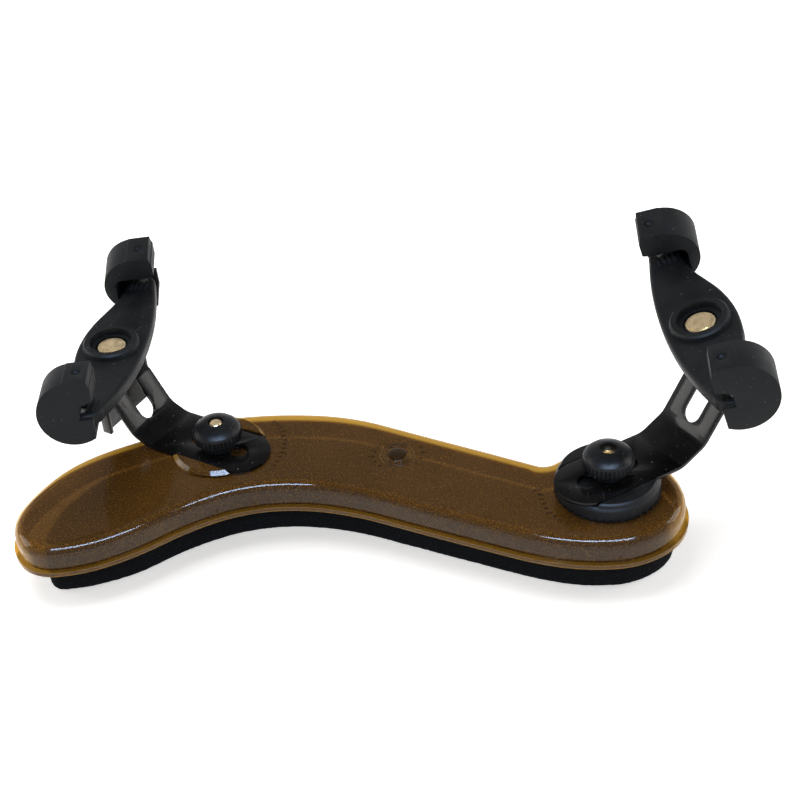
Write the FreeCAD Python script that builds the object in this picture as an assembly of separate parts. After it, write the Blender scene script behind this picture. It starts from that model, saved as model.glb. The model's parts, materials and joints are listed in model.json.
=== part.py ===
"""Violin shoulder rest: curved moulded shell on a foam pad, two bent steel legs,
two swivelling forks and four rubber claws.  Millimetres, +Z up, +X along the rest,
+Y towards the side of the rest that the legs lean to."""
import FreeCAD
import Part
import math
import os

V = FreeCAD.Vector
Z_AXIS = V(0, 0, 1)

# ---- shell and pad -------------------------------------------------------------
PAD_THICK = 12.0
PAD_INSET = 2.6
# The pad stops further in at the left tip, from this X to the tip itself.
PAD_TIP_FROM = -90.0
PAD_TIP_INSET = 5.5
PAD_EDGE = 2.2
SHELL_HEIGHT = 10.5
SHELL_WALL = 2.2
SHELL_EDGE = 3.8
RIM_WIDTH = 1.2
RIM_HEIGHT = 1.6
SHELL_TOP = PAD_THICK + SHELL_HEIGHT

# Outline of the shell wall as knots: x, y and heading in degrees.  It runs
# anticlockwise from the left tip; each pair of knots is joined by two tangent arcs.
OUTLINE = [
    (-108.4, -9.5, 270), (-94.5, -25.3, 360), (-62.0, -14.0, 393), (-27.0, -2.1, 360),
    (8.0, -11.6, 332), (50.0, -33.5, 333), (80.0, -41.5, 360), (104.5, -20.0, 450),
    (82.5, 3.5, 540), (65.4, -0.6, 574), (60.6, -1.0, 510), (12.0, 26.6, 510),
    (-34.0, 37.4, 540), (-56.0, 33.6, 557), (-80.0, 25.0, 563), (-98.8, 11.3, 592),
    (-106.6, -1.5, 606),
]

# ---- pivots ----------------------------------------------------------------------
PIVOT = {"left": V(-43.6, 19.2, 0), "right": V(80.6, -16.6, 0)}
LEG_HEADING = {"left": 148.0, "right": 27.0}
BOSS_R = 15.6
BOSS_HEIGHT = 1.9
TABLE_R = 16.5
TABLE_HEIGHT = 4.9
TABLE_GAP = 0.1
TABLE_NOTCHES = 40
GUIDE_GAP = 0.2
STUD_R = 2.1
STUD_HEAD_R = 4.5
STUD_HEAD_H = 3.0
STUD_TIP = {"left": 9.4, "right": 6.2}
RUNNING_GAP = 0.06
NUT_FLOAT = 0.15

# ---- legs ------------------------------------------------------------------------
STRIP = 1.3
LEG_WIDTH = 21.0
HOLE_PITCH = 7.75
HOLE_R = 3.05
PLATE_BOTTOM = {"left": SHELL_TOP, "right": SHELL_TOP + TABLE_GAP + TABLE_HEIGHT}
# Corners of the strip's middle line: distance out, height, bend radius.
LEG_BENDS = {
    "left": [(20.8, 0, 8), (27.3, 3.1, 7), (34.2, 14.6, 2), (36.9, 16.8, 1.5)],
    "right": [(20.8, 0, 8), (29.3, 4.9, 7), (37.0, 16.8, 2), (39.0, 18.9, 1.5)],
}
# Lean of the upright flange, and of the fork it carries, towards the middle.
LEAN = {"left": 0.0, "right": 16.5}
FLANGE_TOP = 5.8
SLOT_WIDTH = 7.0
SLOT_START = {"left": 0.6, "right": 3.0}
SLOT_STOP = 1.6

# ---- height slides, measured from the foot of the leg's flange ----------------------
BLADE_THICK = 1.6
BLADE_WIDTH = 24.0
BLADE_GAP = 0.15
BLADE_FOOT = -15.2
CHEEK_THICK = 1.3
CHEEK_DEPTH = 1.9
GUIDE_SLACK = 0.1
SLIDE_LIFT = {"left": 0.0, "right": 12.8}
SCREW_UP = 2.6
SCREW_R = 1.5
SCREW_HEAD_R = 2.75
SCREW_HEAD_H = 1.6
SLOT_LOW = 4.6
SLOT_HIGH = 18.6
NUT_FLATS = 5.5
NUT_THICK = 2.4
SEAT_R = 8.2
SEAT_THICK = 1.6
SEAT_OUT = 2.0
SEAT_TOP = 8.15

# ---- forks, measured from the top of the seat ---------------------------------------
FORK_HEADING = {"left": 171.5, "right": 5.0}
# Tilt of the seat across the blade, which levels the fork from front to back.
SEAT_ROLL = {"left": 0.0, "right": 5.0}
ARM_GAP = 0.3
ARM_THICK = 4.5
ARM_TIP = 41.0
ARM_NECK = 28.0
ARM_HALF_WIDTH = 11.5
ARM_NECK_OUT = 4.3
ARM_SHOULDER = 9.3
ARM_TIP_OUT = 4.0
ARM_TIP_IN = 6.6
ARM_CURVE_R = 400.0
ARM_EDGE = 1.2
RING_R = 9.3
RING_HEIGHT = 2.2
RING_BORE_R = 7.0
RING_STEP_R = 5.4
PIVOT_R = 3.6
PIVOT_FOOT_R = 2.4
PIVOT_DROP = 2.2
ARM_MID = ARM_GAP + ARM_THICK / 2
RING_TOP = ARM_MID + ARM_THICK / 2 + RING_HEIGHT

# ---- claws, measured from their pin at the middle of the arm's thickness ------------
CLAW_AT = 37.6
PIN_OUT = {"front": -0.4, "back": -2.6}
CLAW_THICK = 13.0
CLAW_R = 11.0
CLAW_OUT = 2.0
CLAW_UP = 4.7
CLAW_PIN_R = 1.5
CLAW_SWIVEL = 10.0
PIN_FOOT = -5.5
# The beak's corners, inwards from the mouth's lip over the flat top to the heel.
BEAK = [(-3.2, 9.2), (-4.6, 12.5), (-3.8, 16.0), (3.4, 15.8), (9.0, 12.0), (7.0, 8.0)]
MOUTH_END = 0.0
MOUTH_TOP = 7.7
MOUTH_FLARE = 8.6
MOUTH_R = 2.0
# Pocket where the arm enters, open towards the ring and closed towards the tip.
POCKET_END = {"front": 7.6, "back": 9.2}
POCKET_R = 2.6
POCKET_WALL = 2.1
HOOD_WALL = 5.5
DIMPLE_R = 1.6
# Part of the disc that is kept: both lips end short of it.
LIPS = [(-4.0, -9.0), (14.0, -9.0), (14.0, 20.0), (-4.6, 20.0), (-4.6, 8.0), (-4.0, 4.0)]
GRIP_WIDTH = 6.6
GRIP_TO_TIP = 1.0
GRIP_TO_RING = 5.8
PAD_RIBS = 4


# ---- small geometry helpers ------------------------------------------------------
def unit(degrees):
    angle = math.radians(degrees)
    return V(math.cos(angle), math.sin(angle), 0)


def outline_knots(inset, tip_inset=0.0):
    """Shell knots moved inwards by inset, and by up to tip_inset more at the left tip."""
    tip = min(x for x, _, _ in OUTLINE)
    knots = []
    for x, y, heading in OUTLINE:
        share = max(0.0, (PAD_TIP_FROM - x) / (PAD_TIP_FROM - tip))
        normal = unit(heading + 90)
        knots.append((V(x, y, 0) + normal * (inset + tip_inset * share), heading))
    return knots


def arc_from(start, heading, end):
    """Arc or line that leaves start along heading and ends at end."""
    chord = end - start
    turn = math.atan2(unit(heading).cross(chord).z, unit(heading).dot(chord))
    if abs(turn) < 1e-4:
        return Part.LineSegment(start, end).toShape()
    radius = chord.Length / (2 * math.sin(turn))
    centre = start + unit(heading + 90) * radius
    spoke = start - centre
    middle = centre + FreeCAD.Rotation(Z_AXIS, math.degrees(turn)).multVec(spoke)
    return Part.Arc(start, middle, end).toShape()


def two_arcs(start, heading, end, heading_end):
    """Two arcs, tangent to each other and to both headings."""
    chord = end - start
    t0 = unit(heading)
    t1 = unit(heading_end)
    both = t0 + t1
    a = 2 * (1 - t0.dot(t1))
    b = 2 * chord.dot(both)
    c = -chord.dot(chord)
    if abs(a) < 1e-9:
        reach = -c / b
    else:
        reach = (-b + math.sqrt(b * b - 4 * a * c)) / (2 * a)
    joint = (start + t0 * reach + end - t1 * reach) * 0.5
    turn = math.degrees(math.atan2(t0.cross(joint - start).z, t0.dot(joint - start)))
    return [arc_from(start, heading, joint), arc_from(joint, heading + 2 * turn, end)]


def outline_face(inset, z, tip_inset=0.0):
    knots = outline_knots(inset, tip_inset)
    edges = []
    for i, (point, heading) in enumerate(knots):
        after, heading_after = knots[(i + 1) % len(knots)]
        edges += two_arcs(point, heading, after, heading_after)
    face = Part.Face(Part.Wire(edges))
    face.translate(V(0, 0, z))
    return face


def prism(points, height, z=0.0):
    """Upright prism on a closed polygon of (x, y) points."""
    corners = [V(x, y, z) for x, y in points]
    return Part.Face(Part.makePolygon(corners + corners[:1])).extrude(V(0, 0, height))


def box(x0, x1, y0, y1, z0, z1):
    return Part.makeBox(x1 - x0, y1 - y0, z1 - z0, V(x0, y0, z0))


def disc(radius, z0, z1, x=0.0, y=0.0):
    return Part.makeCylinder(radius, z1 - z0, V(x, y, z0))


def lathe(profile):
    """Solid of revolution about Z from (radius, z) points."""
    corners = [V(r, 0, z) for r, z in profile]
    face = Part.Face(Part.makePolygon(corners + corners[:1]))
    return face.revolve(V(0, 0, 0), Z_AXIS, 360)


def star(outer, inner, teeth):
    """Corner points of a serrated rim."""
    points = []
    for i in range(2 * teeth):
        radius = outer if i % 2 == 0 else inner
        spoke = unit(180.0 * i / teeth) * radius
        points.append((spoke.x, spoke.y))
    return points


def ribbon(points, thick, width):
    """Flat strip bent along (x, z, bend radius) points, width wide about y = 0."""
    sides = {+1: [], -1: []}
    for side, edges in sides.items():
        shift = side * thick / 2
        at = None
        for i, (x, z, radius) in enumerate(points):
            here = V(x, 0, z)
            if i == 0 or i == len(points) - 1:
                other = points[1] if i == 0 else points[-2]
                along = (V(other[0], 0, other[1]) - here).normalize()
                if i:
                    along = along * -1
                corner = here + V(-along.z, 0, along.x) * shift
                if at is not None:
                    edges.append(Part.LineSegment(at, corner).toShape())
                at = corner
                continue
            before = (here - V(points[i - 1][0], 0, points[i - 1][1])).normalize()
            after = (V(points[i + 1][0], 0, points[i + 1][1]) - here).normalize()
            turn = math.atan2(before.z, before.x) - math.atan2(after.z, after.x)
            turn = -(turn + math.pi) % (2 * math.pi) - math.pi
            sign = 1 if turn > 0 else -1
            back = radius * math.tan(abs(turn) / 2)
            centre = here - before * back + V(-before.z, 0, before.x) * (sign * radius)
            reach = radius - sign * shift
            first = centre + V(before.z, 0, -before.x) * (sign * reach)
            last = centre + V(after.z, 0, -after.x) * (sign * reach)
            halfway = (before + after).normalize()
            middle = centre + V(halfway.z, 0, -halfway.x) * (sign * reach)
            edges.append(Part.LineSegment(at, first).toShape())
            edges.append(Part.Arc(first, middle, last).toShape())
            at = last
    top, bottom = sides[1], sides[-1]
    caps = [
        Part.LineSegment(top[0].firstVertex().Point, bottom[0].firstVertex().Point).toShape(),
        Part.LineSegment(top[-1].lastVertex().Point, bottom[-1].lastVertex().Point).toShape(),
    ]
    wire = Part.Wire(Part.__sortEdges__(top + bottom + caps))
    face = Part.Face(wire)
    face.translate(V(0, -width / 2, 0))
    return face.extrude(V(0, width, 0))


def along_x(shape):
    """Turns a shape built along +Z so that it runs along +X."""
    shape.rotate(V(0, 0, 0), V(0, 1, 0), 90)
    return shape


# ---- where each assembly stands ---------------------------------------------------
def to_leg(shape, side):
    """From leg axes (x outwards from the pivot, z from the strip's middle) to the rest."""
    placed = shape.copy()
    placed.rotate(V(0, 0, 0), Z_AXIS, LEG_HEADING[side])
    placed.translate(PIVOT[side] + V(0, 0, PLATE_BOTTOM[side] + STRIP / 2))
    return placed


def to_flange(shape, side):
    """From flange axes (z up the flange from its foot, x outwards) to the rest."""
    out, up, _ = LEG_BENDS[side][-1]
    placed = shape.copy()
    placed.rotate(V(0, 0, 0), V(0, 1, 0), -LEAN[side])
    placed.translate(V(out, 0, up))
    return to_leg(placed, side)


def to_slide(shape, side):
    placed = shape.copy()
    placed.translate(V(0, 0, SLIDE_LIFT[side]))
    return to_flange(placed, side)


def to_seat(shape, side):
    """From seat axes (x along the leg, z up from the seat's top) to the slide."""
    placed = shape.copy()
    placed.rotate(V(0, 0, 0), V(1, 0, 0), -SEAT_ROLL[side])
    placed.translate(V(SEAT_OUT, 0, SEAT_TOP))
    return placed


def to_fork(shape, side):
    """From fork axes (x outwards, y along the fork, z up from the seat) to the rest."""
    placed = shape.copy()
    placed.rotate(V(0, 0, 0), Z_AXIS, FORK_HEADING[side] - LEG_HEADING[side])
    return to_slide(to_seat(placed, side), side)


def end_sign(side, end):
    """+1 or -1: which way along the fork the front or back end lies."""
    forward = 1 if side == "left" else -1
    return forward if end == "front" else -forward


def to_end(shape, side, end):
    """From axes at the claw's pin, in the middle of the arm's thickness, to fork axes."""
    placed = shape.copy()
    sign = end_sign(side, end)
    rise = ARM_CURVE_R - math.sqrt(ARM_CURVE_R ** 2 - CLAW_AT ** 2)
    placed.rotate(V(0, 0, 0), V(1, 0, 0), sign * math.degrees(math.asin(CLAW_AT / ARM_CURVE_R)))
    placed.translate(V(PIN_OUT[end], sign * CLAW_AT, ARM_MID + rise))
    return placed


def to_claw(shape, side, end):
    """From claw axes (x outwards, y across the claw, z up) to the rest."""
    placed = shape.copy()
    swivel = CLAW_SWIVEL if side == "left" else -CLAW_SWIVEL
    placed.rotate(V(0, 0, 0), Z_AXIS, swivel)
    return to_fork(to_end(placed, side, end), side)


# ---- shell, pad, studs, turntable --------------------------------------------------
def fillet_top(solid, z, radius):
    edges = [e for e in solid.Edges if abs(e.BoundBox.ZMin - z) < 1e-6 and abs(e.BoundBox.ZMax - z) < 1e-6]
    return solid.makeFillet(radius, edges)


def make_shell():
    """Inverted tray with a rim, a post round each stud and the fixed left boss."""
    body = outline_face(0, PAD_THICK).extrude(V(0, 0, SHELL_HEIGHT))
    body = fillet_top(body, SHELL_TOP, SHELL_EDGE)
    rim = outline_face(-RIM_WIDTH, PAD_THICK).extrude(V(0, 0, RIM_HEIGHT))
    hollow = outline_face(SHELL_WALL, PAD_THICK - 1).extrude(V(0, 0, SHELL_HEIGHT + 1 - SHELL_WALL))
    hollow = fillet_top(hollow, SHELL_TOP - SHELL_WALL, SHELL_EDGE - SHELL_WALL)
    shell = body.fuse(rim).cut(hollow)
    for side, pivot in PIVOT.items():
        post = disc(STUD_HEAD_R + 2.5, PAD_THICK + 2, SHELL_TOP - SHELL_WALL / 2, pivot.x, pivot.y)
        shell = shell.fuse(post)
    shell = shell.fuse(make_boss())
    for pivot in PIVOT.values():
        shell = shell.cut(disc(STUD_R, PAD_THICK, SHELL_TOP + 5, pivot.x, pivot.y))
        shell = shell.cut(disc(STUD_HEAD_R, PAD_THICK, PAD_THICK + 2 + STUD_HEAD_H, pivot.x, pivot.y))
    return shell.removeSplitter()


def boss_segments(radius, z0, z1, edge):
    """Two raised segments of a disc, one each side of the leg's channel."""
    round_boss = disc(radius, z0, z1)
    rim = [e for e in round_boss.Edges if abs(e.BoundBox.ZMin - z1) < 1e-6 and e.BoundBox.ZLength < 1e-6]
    round_boss = round_boss.makeChamfer(edge, rim)
    half = LEG_WIDTH / 2 + GUIDE_GAP
    channel = box(-2 * radius, 2 * radius, -half, half, z0 - 1, z1 + 1)
    return round_boss.cut(channel)


def make_boss():
    segments = boss_segments(BOSS_R, SHELL_TOP - 0.5, SHELL_TOP + BOSS_HEIGHT, 1.2)
    segments.rotate(V(0, 0, 0), Z_AXIS, LEG_HEADING["left"])
    segments.translate(PIVOT["left"])
    return segments


def make_pad():
    """Foam pad under the shell, with a rounded lower edge."""
    pad = outline_face(PAD_INSET, 0, PAD_TIP_INSET).extrude(V(0, 0, PAD_THICK))
    return fillet_top(pad, 0, PAD_EDGE)


def make_turntable():
    """Round riser that carries the right leg, notched round its foot."""
    base = SHELL_TOP + TABLE_GAP
    top = base + TABLE_HEIGHT
    table = prism(star(TABLE_R + 0.5, TABLE_R, TABLE_NOTCHES), 1.2, base)
    table = table.fuse(disc(TABLE_R, base, top - 1.0))
    waist = Part.makeCone(TABLE_R, TABLE_R - 0.8, 1.0, V(0, 0, top - 1.0))
    table = table.fuse(waist)
    table = table.fuse(boss_segments(TABLE_R - 0.8, top - 0.5, top + STRIP, 0.6))
    table = table.cut(disc(STUD_R + RUNNING_GAP, base - 1, top + 3))
    table.rotate(V(0, 0, 0), Z_AXIS, LEG_HEADING["right"])
    table.translate(PIVOT["right"])
    return table.removeSplitter()


def make_stud(side):
    """Brass stud, its head held in the post under the shell."""
    head_z = PAD_THICK + 2
    tip_z = PLATE_BOTTOM[side] + STRIP + STUD_TIP[side]
    stud = disc(STUD_HEAD_R, head_z, head_z + STUD_HEAD_H)
    stud = stud.fuse(disc(STUD_R, head_z, tip_z - 0.4))
    stud = stud.fuse(Part.makeCone(STUD_R, STUD_R - 0.4, 0.4, V(0, 0, tip_z - 0.4)))
    stud.translate(PIVOT[side])
    return stud.removeSplitter()


# ---- thumb nuts --------------------------------------------------------------------
def make_thumb_nut(side):
    """Domed plastic nut with a serrated rim."""
    stem = lathe([(0, 0), (5.6, 0), (5.8, 1.2), (7.4, 3.2), (7.6, 3.6), (0, 3.6)])
    rim = prism(star(8.2, 7.7, 36), 3.0, 3.4)
    dome = lathe([(0, 6.3), (7.9, 6.3), (7.6, 7.2), (6.4, 8.4), (4.4, 9.2), (3.2, 9.5), (0, 9.5)])
    nut = stem.fuse([rim, dome])
    nut = nut.cut(disc(3.3, -1, 7.0)).cut(disc(STUD_R + 0.45, 6, 11))
    return place_nut(nut.removeSplitter(), side)


def make_nut_insert(side):
    """Brass bush moulded into the thumb nut."""
    bush = disc(3.3, 0.0, 7.0).cut(disc(STUD_R + RUNNING_GAP, -1, 8))
    return place_nut(bush, side)


def place_nut(shape, side):
    shape.translate(PIVOT[side] + V(0, 0, PLATE_BOTTOM[side] + STRIP + NUT_FLOAT))
    return shape


# ---- legs --------------------------------------------------------------------------
def leg_points(side):
    bends = LEG_BENDS[side]
    start = (-HOLE_PITCH - LEG_WIDTH / 2, 0, 0)
    out, up, _ = bends[-1]
    lean = math.radians(LEAN[side])
    top = (out - FLANGE_TOP * math.sin(lean), up + FLANGE_TOP * math.cos(lean), 0)
    return [start] + bends + [top]


def make_leg(side):
    """Steel strip: flat plate with three holes, bent up in stages to a short flange."""
    leg = ribbon(leg_points(side), STRIP, LEG_WIDTH)
    half = LEG_WIDTH / 2
    plan = disc(half, -5, 40, -HOLE_PITCH).fuse(box(-HOLE_PITCH, 60, -half, half, -5, 40))
    leg = leg.common(plan)
    for step in (-1, 0, 1):
        radius = HOLE_R if step else STUD_R + 0.3
        leg = leg.cut(disc(radius, -3, 3, step * HOLE_PITCH))
    leg = leg.cut(leg_slot(side))
    leg = to_leg(leg, side)
    hole = along_x(disc(SCREW_R + 0.1, -3, 3))
    hole.translate(V(0, 0, SCREW_UP))
    return leg.cut(to_flange(hole, side)).removeSplitter()


def leg_slot(side):
    """Cutter for the slot up the steep face, round at its foot, stopping below the flange."""
    low, high, foot = LEG_BENDS[side][1:4]
    slope = math.degrees(math.atan2(high[1] - low[1], high[0] - low[0]))
    length = math.hypot(high[0] - low[0], high[1] - low[1])
    half = SLOT_WIDTH / 2
    start = half + SLOT_START[side]
    cutter = disc(half, -3, 3, start).fuse(box(start, length + 0.6, -half, half, -3, 3))
    cutter.rotate(V(0, 0, 0), V(0, 1, 0), -slope)
    cutter.translate(V(low[0], 0, low[1]))
    over = box(high[0] - 1.6, foot[0] - SLOT_STOP, -half, half, high[1] - 1.2, foot[1] + 1.5)
    return cutter.fuse(over)


# ---- height slides -------------------------------------------------------------------
def blade_inner():
    return STRIP / 2 + BLADE_GAP


def make_slide(side):
    """Slotted blade folded round the flange's edges, with a round seat on top."""
    x0 = blade_inner()
    x1 = x0 + BLADE_THICK
    half = BLADE_WIDTH / 2
    under = SEAT_TOP - SEAT_THICK
    shoulder = under - 1.0
    blade = box(x0, x1, -half, half, BLADE_FOOT, shoulder)
    blade = blade.fuse(box(x0, x1, -SEAT_R + 1, SEAT_R - 1, shoulder - 1, under + 0.5))
    inner = LEG_WIDTH / 2 + GUIDE_SLACK
    for y0, y1 in ((-half, -inner), (inner, half)):
        blade = blade.fuse(box(x0 - CHEEK_DEPTH, x1, y0, y1, BLADE_FOOT, shoulder))
    slot = box(-5, 5, -SCREW_R - 0.1, SCREW_R + 0.1, SLOT_LOW, SLOT_HIGH)
    for up in (SLOT_LOW, SLOT_HIGH):
        round_end = along_x(disc(SCREW_R + 0.1, -5, 5))
        round_end.translate(V(0, 0, up))
        slot = slot.fuse(round_end)
    slot.translate(V(x0, 0, BLADE_FOOT))
    blade = blade.cut(slot)
    blade = blade.fuse(to_seat(disc(SEAT_R, -SEAT_THICK, 0), side))
    blade = blade.cut(to_seat(disc(PIVOT_FOOT_R, -SEAT_THICK, 1), side))
    return to_slide(blade.removeSplitter(), side)


def make_height_screw(side):
    """Pan-head screw from inside the flange, out through the slide."""
    inner = -STRIP / 2
    tip = blade_inner() + BLADE_THICK + NUT_THICK + 1.2
    screw = disc(SCREW_HEAD_R, inner - SCREW_HEAD_H, inner).fuse(disc(SCREW_R, inner - 1, tip))
    screw = screw.cut(box(-0.4, 0.4, -5, 5, inner - SCREW_HEAD_H - 1, inner - SCREW_HEAD_H + 0.7))
    along_x(screw)
    screw.translate(V(0, 0, SCREW_UP))
    return to_flange(screw.removeSplitter(), side)


def make_height_nut(side):
    """Hexagon nut that locks the slide from outside."""
    reach = NUT_FLATS / 2 / math.cos(math.radians(30))
    corners = [unit(60 * i) * reach for i in range(6)]
    nut = prism([(c.x, c.y) for c in corners], NUT_THICK)
    nut = nut.cut(disc(SCREW_R + RUNNING_GAP, -1, NUT_THICK + 1))
    nut.rotate(V(0, 0, 0), Z_AXIS, 30)
    along_x(nut)
    nut.translate(V(blade_inner() + BLADE_THICK + BLADE_GAP, 0, SCREW_UP))
    return to_flange(nut, side)


# ---- forks ---------------------------------------------------------------------------
def make_pivot(side):
    """Brass rivet on the seat; its flat top shows in the fork's ring."""
    head = RING_TOP - PIVOT_DROP
    pivot = disc(PIVOT_R, 0, head)
    pivot = pivot.fuse(disc(PIVOT_FOOT_R, -SEAT_THICK, 0.5))
    pivot = pivot.fuse(disc(PIVOT_R + 1.0, head - 0.8, head - 0.2))
    return to_fork(pivot.removeSplitter(), side)


def arm_plan():
    """Plan of the arm: a lens drawn in to a neck and a round tip at each end."""
    end = ARM_TIP - 5.0
    outer = Part.BSplineCurve()
    outer.interpolate([V(ARM_TIP_OUT, -end, 0), V(ARM_NECK_OUT, -ARM_NECK, 0),
                       V(ARM_SHOULDER, -ARM_NECK / 2, 0), V(ARM_HALF_WIDTH, 0, 0),
                       V(ARM_SHOULDER, ARM_NECK / 2, 0), V(ARM_NECK_OUT, ARM_NECK, 0),
                       V(ARM_TIP_OUT, end, 0)])
    inner = Part.Arc(V(-ARM_TIP_IN, end, 0), V(-ARM_HALF_WIDTH, 0, 0), V(-ARM_TIP_IN, -end, 0))
    edges = [outer.toShape(), inner.toShape()]
    middle = (ARM_TIP_OUT - ARM_TIP_IN) / 2
    for sign in (-1, 1):
        tip = Part.Arc(V(ARM_TIP_OUT, sign * end, 0), V(middle, sign * ARM_TIP, 0),
                       V(-ARM_TIP_IN, sign * end, 0))
        edges.append(tip.toShape())
    return Part.Face(Part.Wire(Part.__sortEdges__(edges)))


def make_arm(side):
    """Fork arm: curved slab cut to its plan, with a raised ring round the pivot."""
    blank = arm_plan().extrude(V(0, 0, 40))
    blank.translate(V(0, 0, -5))
    hub = V(-30, 0, ARM_MID + ARM_CURVE_R)
    slab = Part.makeCylinder(ARM_CURVE_R + ARM_THICK / 2, 60, hub, V(1, 0, 0))
    slab = slab.cut(Part.makeCylinder(ARM_CURVE_R - ARM_THICK / 2, 60, hub, V(1, 0, 0)))
    arm = blank.common(slab)
    rim = [e for e in arm.Edges if e.BoundBox.ZLength < ARM_THICK - 0.5]
    arm = arm.makeFillet(ARM_EDGE, rim)
    ring = lathe([(0, ARM_MID), (RING_R + 0.6, ARM_MID), (RING_R, RING_TOP - 0.6),
                  (RING_R - 0.6, RING_TOP), (0, RING_TOP)])
    arm = arm.fuse(ring)
    arm = arm.cut(disc(RING_BORE_R, RING_TOP - RING_HEIGHT, RING_TOP + 1))
    arm = arm.cut(disc(RING_STEP_R, RING_TOP - RING_HEIGHT - 1.1, RING_TOP + 1))
    arm = arm.cut(disc(PIVOT_R + RUNNING_GAP, -2, RING_TOP + 1))
    for end in ("front", "back"):
        arm = arm.cut(to_end(disc(CLAW_PIN_R, -8, 8), side, end))
        arm = arm.cut(to_end(pad_block(side, end, 0.6), side, end))
    return to_fork(arm.removeSplitter(), side)


def pad_block(side, end, above):
    """Block of the ribbed rubber pad let into the top of the arm's end."""
    low, high = grip_span(side, end)
    middle = (ARM_TIP_OUT - ARM_TIP_IN) / 2 - PIN_OUT[end]
    half = GRIP_WIDTH / 2
    top = ARM_THICK / 2
    return box(middle - half, middle + half, low, high, top - 1.2, top + above)


def grip_span(side, end):
    """Where the pad starts and stops along the fork, from the claw's pin."""
    if end_sign(side, end) > 0:
        return -GRIP_TO_RING, GRIP_TO_TIP
    return -GRIP_TO_TIP, GRIP_TO_RING


def make_grip_pad(side, end):
    """Rubber pad with ribs across it, on the arm under the claw's mouth."""
    pad = pad_block(side, end, 0)
    y0, y1 = grip_span(side, end)
    low = pad.BoundBox.XMin
    pitch = GRIP_WIDTH / PAD_RIBS
    top = ARM_THICK / 2
    for i in range(PAD_RIBS):
        x0 = low + pitch * (i + 0.2)
        pad = pad.fuse(box(x0, x0 + pitch * 0.6, y0, y1, top - 0.1, top + 0.4))
    pad = pad.cut(disc(CLAW_PIN_R, -8, 8))
    return to_fork(to_end(pad.removeSplitter(), side, end), side)


# ---- claws ---------------------------------------------------------------------------
def bar(points):
    """Prism right across the claw on a polygon of (x, z) points."""
    corners = [V(x, -20, z) for x, z in points]
    return Part.Face(Part.makePolygon(corners + corners[:1])).extrude(V(0, 40, 0))


def round_bar(radius, x, z):
    return Part.makeCylinder(radius, 40, V(x, -20, z), V(0, 1, 0))


def claw_mouth():
    """Flared slot right across the claw for the instrument's edge."""
    floor = ARM_THICK / 2
    inner = MOUTH_END - MOUTH_R
    mouth = bar([(-30, floor), (inner, floor), (inner, MOUTH_TOP), (-3, MOUTH_FLARE - 0.4),
                 (-30, MOUTH_FLARE + 8)])
    return mouth.fuse([round_bar(MOUTH_R, inner, MOUTH_TOP - MOUTH_R),
                       box(inner, MOUTH_END, -20, 20, floor, MOUTH_TOP - MOUTH_R)])


def arm_pocket(side, end):
    """Room for the arm's end, and a rounded hood over it, closed towards the tip."""
    low = -ARM_THICK / 2 - 0.35
    lip = ARM_THICK / 2 + 0.9
    outer = POCKET_END[end]
    inner = outer - POCKET_R
    space = box(-30, outer, -20, CLAW_THICK / 2 - POCKET_WALL, low, lip)
    hood = round_bar(POCKET_R, inner, MOUTH_TOP - POCKET_R)
    hood = hood.fuse([box(-30, inner, -20, 20, 0, MOUTH_TOP),
                      box(inner, outer, -20, 20, 0, MOUTH_TOP - POCKET_R)])
    hood = hood.common(box(-40, 40, -20, CLAW_THICK / 2 - HOOD_WALL, -5, 20))
    pocket = space.fuse(hood)
    if end_sign(side, end) < 0:
        pocket = pocket.mirror(V(0, 0, 0), V(0, 1, 0))
    return pocket


def make_claw(side, end):
    """Rubber claw that swivels on the arm's end: a thick disc with a beak over its mouth."""
    slice_ = box(-40, 40, -CLAW_THICK / 2, CLAW_THICK / 2, -40, 40)
    claw = round_bar(CLAW_R, CLAW_OUT, CLAW_UP).fuse(bar(BEAK)).common(slice_).common(bar(LIPS))
    claw = claw.cut(claw_mouth()).cut(arm_pocket(side, end))
    claw = claw.cut(disc(CLAW_PIN_R + RUNNING_GAP, -30, 0))
    claw = claw.cut(Part.makeSphere(DIMPLE_R, V(-0.2, 0, BEAK[2][1] + 0.2)))
    return to_claw(claw.removeSplitter(), side, end)


def make_claw_pin(side, end):
    """Steel pin through the arm's end into the claw's lower jaw."""
    pin = disc(CLAW_PIN_R, PIN_FOOT, ARM_THICK / 2 - 0.2)
    return to_fork(to_end(pin, side, end), side)


# ---- whole assembly --------------------------------------------------------------------
def build():
    nodes = {
        "shell": make_shell(),
        "foam_pad": make_pad(),
        "turntable": make_turntable(),
    }
    for side in ("left", "right"):
        nodes["stud_" + side] = make_stud(side)
        nodes["leg_" + side] = make_leg(side)
        nodes["thumb_nut_" + side] = make_thumb_nut(side)
        nodes["nut_insert_" + side] = make_nut_insert(side)
        nodes["height_slide_" + side] = make_slide(side)
        nodes["height_screw_" + side] = make_height_screw(side)
        nodes["height_nut_" + side] = make_height_nut(side)
        nodes["fork_pivot_" + side] = make_pivot(side)
        nodes["fork_arm_" + side] = make_arm(side)
        for end in ("front", "back"):
            nodes["grip_pad_" + side + "_" + end] = make_grip_pad(side, end)
            nodes["claw_pin_" + side + "_" + end] = make_claw_pin(side, end)
            nodes["claw_" + side + "_" + end] = make_claw(side, end)
    return nodes


def centre_offset(nodes):
    """Shift that brings the middle of the whole box, in X and Y, to the origin."""
    whole = Part.makeCompound(list(nodes.values())).BoundBox
    return V(-(whole.XMin + whole.XMax) / 2, -(whole.YMin + whole.YMax) / 2, -whole.ZMin)


def main():
    os.makedirs("parts", exist_ok=True)
    nodes = build()
    offset = centre_offset(nodes)
    for name, shape in nodes.items():
        shape.translate(offset)
        shape.exportStep("parts/" + name + ".step")
        print(name, "solids", len(shape.Solids), "valid", shape.isValid(), "volume", round(shape.Volume, 1))
    print("offset", [round(v, 3) for v in (offset.x, offset.y, offset.z)])


main()
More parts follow.
